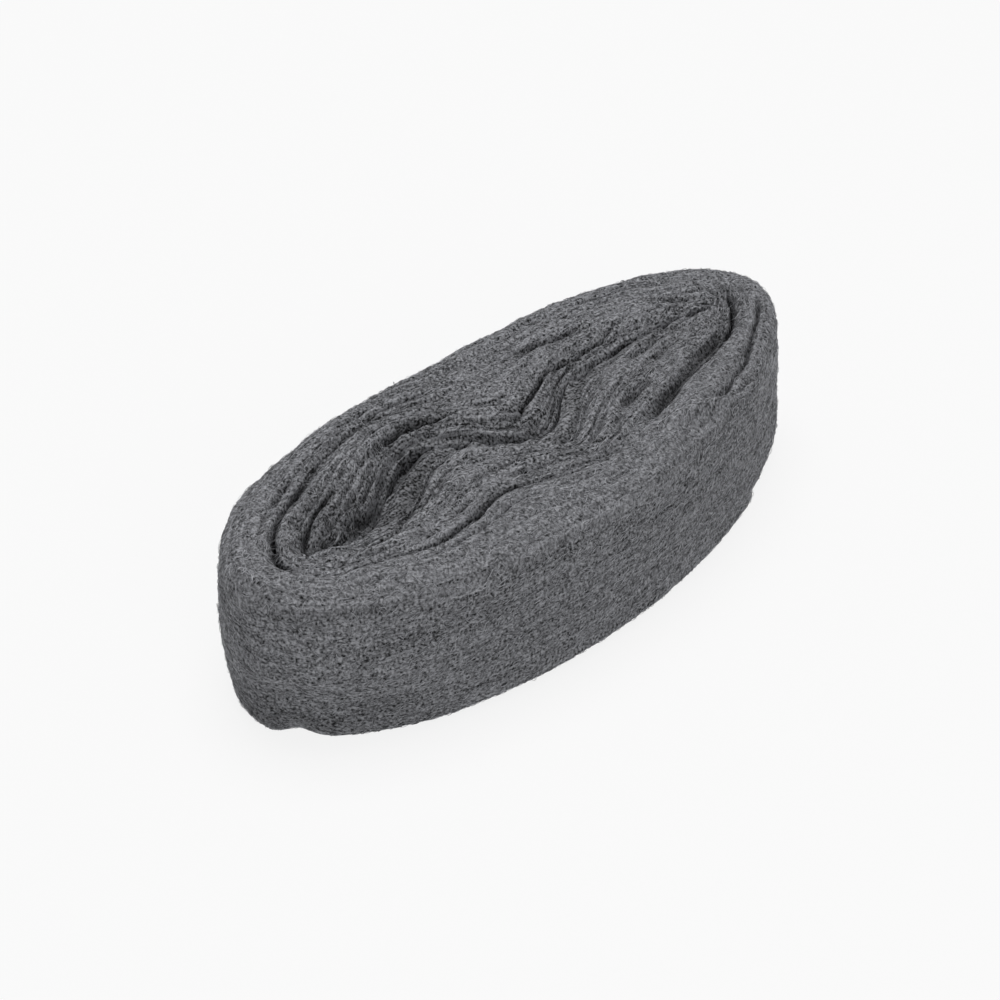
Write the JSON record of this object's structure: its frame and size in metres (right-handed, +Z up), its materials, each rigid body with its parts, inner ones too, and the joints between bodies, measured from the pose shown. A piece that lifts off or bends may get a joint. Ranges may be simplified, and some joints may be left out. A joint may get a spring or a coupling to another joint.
{
  "type": "steel wool pad",
  "caption": "Flat oval pad of fine steel wool: a ribbon on its edge, wound on itself into a soft roll with a wavy slit, for scouring and smoothing by hand.",
  "frame": {"origin": "under the middle of the roll, on the surface that it stands on", "axes": "+X along the oval's length, +Y across it, +Z up along the ribbon's width"},
  "size_m": [0.161, 0.0678, 0.0401],
  "materials": {
    "steel_wool": "matt dark grey mat of fine bare steel fibres, lying along the winding, with small glints"
  },
  "bodies": {
    "root": {"wound_ribbon": "steel_wool"}
  },
  "joints": []
}
